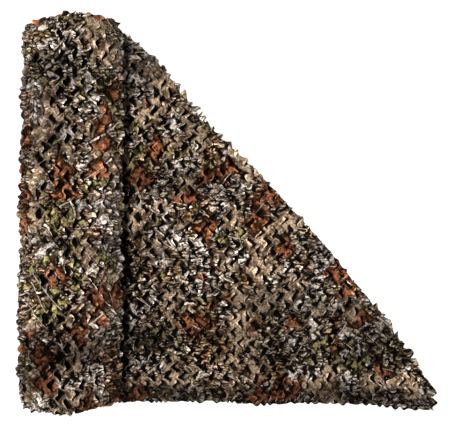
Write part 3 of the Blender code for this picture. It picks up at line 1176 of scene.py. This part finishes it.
def finish_piece(net: FlatNet, places: Array, print_run: Array, inside: Array) -> bpy.types.Object:
    """Turn a laid stretch of net into a shown object.

    Args:
        net: The stretch.
        places: Where its points lie.
        print_run: How far along the net each point lies, for the print.
        inside: The painted shade and painted highlight at each point, from -1 for lit to 1 for deep in the
            folds.

    Returns:
        The piece, at the origin, named like the stretch.
    """
    mesh = net.mesh
    mesh.vertices.foreach_set("co", places.astype(np.float32).ravel())
    corners = np.empty(len(mesh.loops), np.int32)
    mesh.loops.foreach_get("vertex_index", corners)
    uv = np.stack([print_run, net.printed[:, 1]], axis=1)[corners]
    for layer in list(mesh.uv_layers):
        mesh.uv_layers.remove(layer)
    mesh.uv_layers.new(name=PRINT_MAP).data.foreach_set("uv", uv.astype(np.float32).ravel())
    # painted shade and painted highlight, kept on the points for the material
    depth = mesh.attributes.new(PAINTED_LIGHT, 'FLOAT', 'POINT')
    depth.data.foreach_set("value", inside.astype(np.float32))
    mesh.shade_smooth()
    mesh.update()
    return placed(mesh.name, mesh)


@dataclass
class NetRoll:
    """The roll: its outer turn in full detail, and all its inner turns as one long spiral."""

    form: RollForm
    weaver: NetWeaver
    rim: Rim
    # where on the roll's flanks the painted shade starts and ends, and how dark it gets
    flank: Pair = (0.55, 0.95)
    flank_shade: float = 0.36
    # where the inner turns' painted shade eases towards the roll's open ends, and by how much
    end_from: float = 0.060
    end_to: float = 0.010
    end_light: float = 0.9

    def outer_turn(self) -> bpy.types.Object:
        """Build the turn that shows."""
        return self._wind("net_outer_turn", 0.0, self.form.run_of(1.0), Grain.FINE, seed=0.0)

    def inner_turns(self, length: float) -> bpy.types.Object:
        """Build the turns underneath, down to the core, from this length of cloth in metres."""
        return self._wind("net_inner_turns", self.form.run_of(1.0), length, Grain.COARSE, seed=20.0)

    def _wind(self, name: str, start: float, length: float, grain: Grain, seed: float) -> bpy.types.Object:
        """Wind a stretch of net.

        Args:
            name: What the piece is called.
            start: How far into the roll it starts, in metres of cloth.
            length: How much cloth it holds, in metres.
            grain: How fine its tiles are.
            seed: Which chance openings it takes.

        Returns:
            The piece.
        """
        net = self.weaver.weave(name, length, grain, seed)
        self.rim.fray(net, cut_end=False)
        run = start + net.opened[:, 0] * length / net.length
        half = 0.5 * NET_WIDTH
        across = net.opened[:, 1] - half
        lean = net.opened[:, 2] * self.form.hang(run, across)
        places = self.form.wrap(run, across, self.weaver.cut.stand(lean))
        dark = crease_shade(np.full_like(across, self.form.centre_x), places[:, 1] - self.form.centre_y)
        # Painted shade on the roll's flanks, which turn away from the light
        flank = np.abs(places[:, 0] - self.form.centre_x) / self.form.half_width
        dark = np.maximum(dark, self.flank_shade * soft_step(flank, *self.flank))
        shade = deepened(self.weaver.cut.painted_lip_light(lean), dark)
        # The inner turns are painted in deep shade, less so near the roll's open ends; the outer turn keeps
        # its lips' painted light
        open_end = soft_step(np.abs(across), half - self.end_from, half - self.end_to)
        inside = np.where(run > self.form.run_of(1.0), 1.0 - self.end_light * open_end, shade)
        return finish_piece(net, places, PRINT_START - start - net.printed[:, 0], inside)


@dataclass
class LooseEnd:
    """The loose end: one sheet, folded."""

    form: LooseEndForm
    weaver: NetWeaver
    rim: Rim
    shut_where_pressed: float = 0.97
    shut_at_fold: float = 0.80
    flat_where_pressed: float = 0.85
    turn: Pair = (0.27, 0.48)
    # the painted shadow of the roll on the cloth beside it: how dark, and how far it reaches
    roll_shade: float = 0.62
    roll_band: Pair = (0.026, 0.004)
    # the painted shade along the lower rim: how dark, and how far in it reaches
    rim_shade: float = 0.55
    rim_band: Pair = (0.110, 0.050)

    def build(self) -> bpy.types.Object:
        """Build the folded sheet.

        Returns:
            The piece.
        """
        net = self.weaver.weave("net_folded_end", self.form.length, Grain.FINE, seed=40.0)
        self.rim.fray(net, cut_end=True)
        stretch = self.form.length / net.length
        shut = net.printed[:, 0] * stretch
        across = net.opened[:, 1]
        under = self.form.under(shut, across)
        pressed = np.maximum(under, self.form.near_rim(shut, across))
        fold = self.form.at_fold(shut, across)
        closed = np.maximum(self.shut_where_pressed * pressed, self.shut_at_fold * fold)
        along = net.drawn_shut(closed) * stretch
        turned = soft_step(Wobble(size=0.12, height=1.0, seed=43).at(along, across), *self.turn)
        lean = net.opened[:, 2] * (2.0 * turned - 1.0)
        stand = self.weaver.cut.stand(lean) * (1.0 - self.flat_where_pressed * pressed)
        places = self.form.lay(along, across, stand)
        # how far each point lies beside the roll, for its painted shadow
        beside = places[:, 0] - self.form.roll.centre_x - self.form.roll.half_width
        dark = crease_shade(places[:, 0] - self.form.shift_x, places[:, 1] - self.form.shift_y)
        # Cloth under the turned corner is painted in shade, and cloth beside the roll gets a painted shadow
        dark = np.maximum(np.maximum(dark, under), self.roll_shade * soft_step(beside, *self.roll_band))
        # Painted shade along the lower rim
        dark = np.maximum(dark, self.rim_shade * soft_step(across, *self.rim_band))
        shade = deepened(self.weaver.cut.painted_lip_light(lean), dark)
        return finish_piece(net, places, PRINT_START + net.printed[:, 0], shade)


@dataclass(frozen=True)
class Studio:
    """A pale floor, soft light and the camera of the photograph, straight above."""

    centre_x: float
    centre_y: float
    camera_height: float = 3.5
    lens: float = 65.5
    sensor: float = 36.0
    floor_half: float = 40.0
    wall_light: float = 0.85
    ceiling_light: float = 0.24

    def floor(self) -> bpy.types.Object:
        """Lay the floor.

        Returns:
            The floor.
        """
        half = self.floor_half
        corners = [(-half, -half, 0.0), (half, -half, 0.0), (half, half, 0.0), (-half, half, 0.0)]
        mesh = bpy.data.meshes.new("floor")
        mesh.from_pydata(corners, [], [(0, 1, 2, 3)])
        material = bpy.data.materials.new("pale_floor")
        material.use_nodes = True
        shader = material.node_tree.nodes["Principled BSDF"]
        shader.inputs["Base Color"].default_value = (0.90, 0.90, 0.90, 1.0)
        shader.inputs["Roughness"].default_value = 0.9
        mesh.materials.append(material)
        return placed("floor", mesh)

    def sun(self, name: str, towards: Triple, softness: float, power: float) -> None:
        """Hang one large, soft lamp that lights the net and the whole floor evenly.

        Args:
            name: What it is called.
            towards: The way from the net to the lamp.
            softness: How wide the lamp looks from the net, in degrees.
            power: How strong it is, in watts for each square metre.
        """
        light = bpy.data.lights.new(name, 'SUN')
        light.angle = math.radians(softness)
        light.energy = power
        lamp = placed(name, light)
        lamp.location = Vector(towards)
        lamp.rotation_euler = Vector(towards).to_track_quat('Z', 'Y').to_euler()

    def light(self) -> None:
        """Hang the lamps, and set the light of the pale walls and ceiling round about."""
        self.sun("key", towards=(-0.45, 0.45, 3.9), softness=9.0, power=3.50)
        self.sun("fill", towards=(0.4, -2.0, 1.3), softness=50.0, power=0.50)
        world = bpy.data.worlds.new("studio")
        world.use_nodes = True
        graph = Graph(world.node_tree)
        world.node_tree.nodes.clear()
        up = graph.add("ShaderNodeTexCoord").outputs["Generated"]
        height = abs(graph.part(up, 2))
        strength = height.between(0.03, 0.18, self.wall_light, self.ceiling_light)
        sky = graph.add("ShaderNodeBackground", {"Color": (1.0, 1.0, 1.0), "Strength": strength})
        graph.add("ShaderNodeOutputWorld", {"Surface": sky.outputs[0]})
        bpy.context.scene.world = world
        bpy.context.scene.view_settings.view_transform = 'Standard'

    def camera(self) -> None:
        """Set the camera straight above, its top edge towards +Y."""
        data = bpy.data.cameras.new("camera")
        data.lens = self.lens
        data.sensor_width = self.sensor
        camera = placed("camera", data)
        camera.location = (self.centre_x, self.centre_y, self.camera_height)
        bpy.context.scene.camera = camera


def report(piece: bpy.types.Object) -> None:
    """Log a finished piece."""
    LOG.info("%s: %d triangles", piece.name, sum(len(face.vertices) - 2 for face in piece.data.polygons))


def main() -> None:
    """Load the frame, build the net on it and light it."""
    logging.basicConfig(level=logging.INFO, format="%(message)s")
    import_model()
    loose_low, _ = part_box("net_loose_end")
    roll_low, roll_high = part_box("net_roll")
    shift_x = loose_low.x - LooseEndForm.root_x
    shift_y = 0.5 * (roll_low.y + roll_high.y)
    studio = Studio(shift_x, shift_y)
    studio.camera()
    studio.light()
    studio.floor()

    cloth = CamoPrint().material()
    weaver = NetWeaver(LeafCut(), cloth)
    rim = Rim()
    roll_form = RollForm(ROLL_CENTRE_X + shift_x, shift_y)
    roll = NetRoll(roll_form, weaver, rim)
    loose_form = LooseEndForm(shift_x, shift_y, roll_form)

    outer = roll.outer_turn()
    outer_run = roll_form.run_of(1.0)
    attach(outer, "root")
    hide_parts("net_roll")
    report(outer)

    inner_run = min(NET_LENGTH - loose_form.length, roll_form.run_of(roll_form.turns)) - outer_run
    inner = roll.inner_turns(inner_run)
    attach(inner, "root")
    report(inner)

    loose = LooseEnd(loose_form, weaver, rim).build()
    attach(loose, "root")
    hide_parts("net_loose_end")
    report(loose)


if __name__ == "__main__":
    main()
